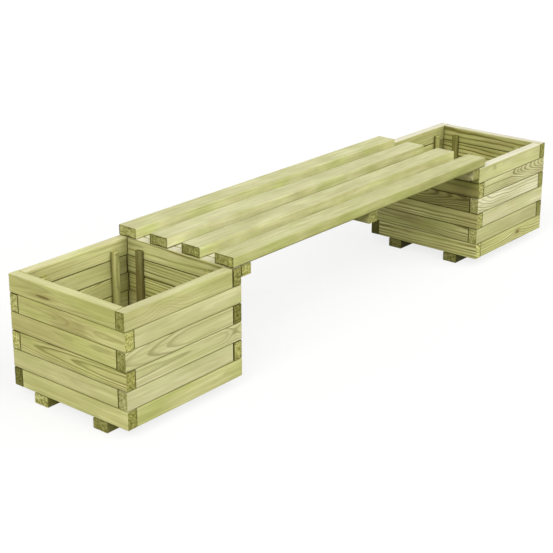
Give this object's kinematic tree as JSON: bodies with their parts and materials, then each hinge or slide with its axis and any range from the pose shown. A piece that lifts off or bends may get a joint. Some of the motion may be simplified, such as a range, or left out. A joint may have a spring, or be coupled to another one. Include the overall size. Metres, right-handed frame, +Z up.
{
  "type": "garden bench with planters",
  "caption": "Slatted timber garden bench that bridges two square planter boxes of stacked, interlocked boards, each standing on a pair of low runners.",
  "frame": {"origin": "on the ground under the middle of the bench", "axes": "+X along the bench from the left planter to the right planter, -Y the front long side, +Z up"},
  "size_m": [2.33, 0.49, 0.4321],
  "materials": {
    "wall_pine": "planed pine, pressure treated, pale green, untreated surface",
    "slat_pine": "planed pine, pressure treated, pale green, untreated surface",
    "crossbar_pine": "planed pine, pressure treated, green",
    "floor_pine": "sawn pine, pressure treated, dull green"
  },
  "bodies": {
    "root": {"left_planter_back_board_1": "wall_pine", "left_planter_back_board_2": "wall_pine", "left_planter_back_board_3": "wall_pine", "left_planter_back_board_4": "wall_pine", "left_planter_back_board_5": "wall_pine", "left_planter_back_board_6_and_battens": "wall_pine", "left_planter_floor_and_runners": "floor_pine", "left_planter_front_board_1": "wall_pine", "left_planter_front_board_2": "wall_pine", "left_planter_front_board_3": "wall_pine", "left_planter_front_board_4": "wall_pine", "left_planter_front_board_5": "wall_pine", "left_planter_front_board_6_and_battens": "wall_pine", "left_planter_left_board_1": "wall_pine", "left_planter_left_board_2": "wall_pine", "left_planter_left_board_3": "wall_pine", "left_planter_left_board_4": "wall_pine", "left_planter_left_board_5": "wall_pine", "left_planter_left_board_6_and_battens": "wall_pine", "left_planter_right_board_1": "wall_pine", "left_planter_right_board_2": "wall_pine", "left_planter_right_board_3": "wall_pine", "left_planter_right_board_4": "wall_pine", "left_planter_right_board_5": "wall_pine", "left_planter_right_board_6_and_battens": "wall_pine", "right_planter_back_board_1": "wall_pine", "right_planter_back_board_2": "wall_pine", "right_planter_back_board_3": "wall_pine", "right_planter_back_board_4": "wall_pine", "right_planter_back_board_5": "wall_pine", "right_planter_back_board_6_and_battens": "wall_pine", "right_planter_floor_and_runners": "floor_pine", "right_planter_front_board_1": "wall_pine", "right_planter_front_board_2": "wall_pine", "right_planter_front_board_3": "wall_pine", "right_planter_front_board_4": "wall_pine", "right_planter_front_board_5": "wall_pine", "right_planter_front_board_6_and_battens": "wall_pine", "right_planter_left_board_1": "wall_pine", "right_planter_left_board_2": "wall_pine", "right_planter_left_board_3": "wall_pine", "right_planter_left_board_4": "wall_pine", "right_planter_left_board_5": "wall_pine", "right_planter_left_board_6_and_battens": "wall_pine", "right_planter_right_board_1": "wall_pine", "right_planter_right_board_2": "wall_pine", "right_planter_right_board_3": "wall_pine", "right_planter_right_board_4": "wall_pine", "right_planter_right_board_5": "wall_pine", "right_planter_right_board_6_and_battens": "wall_pine", "seat_crossbar_left": "crossbar_pine", "seat_crossbar_middle": "crossbar_pine", "seat_crossbar_right": "crossbar_pine", "seat_slat_1": "slat_pine", "seat_slat_2": "slat_pine", "seat_slat_3": "slat_pine", "seat_slat_4": "slat_pine"}
  },
  "joints": []
}
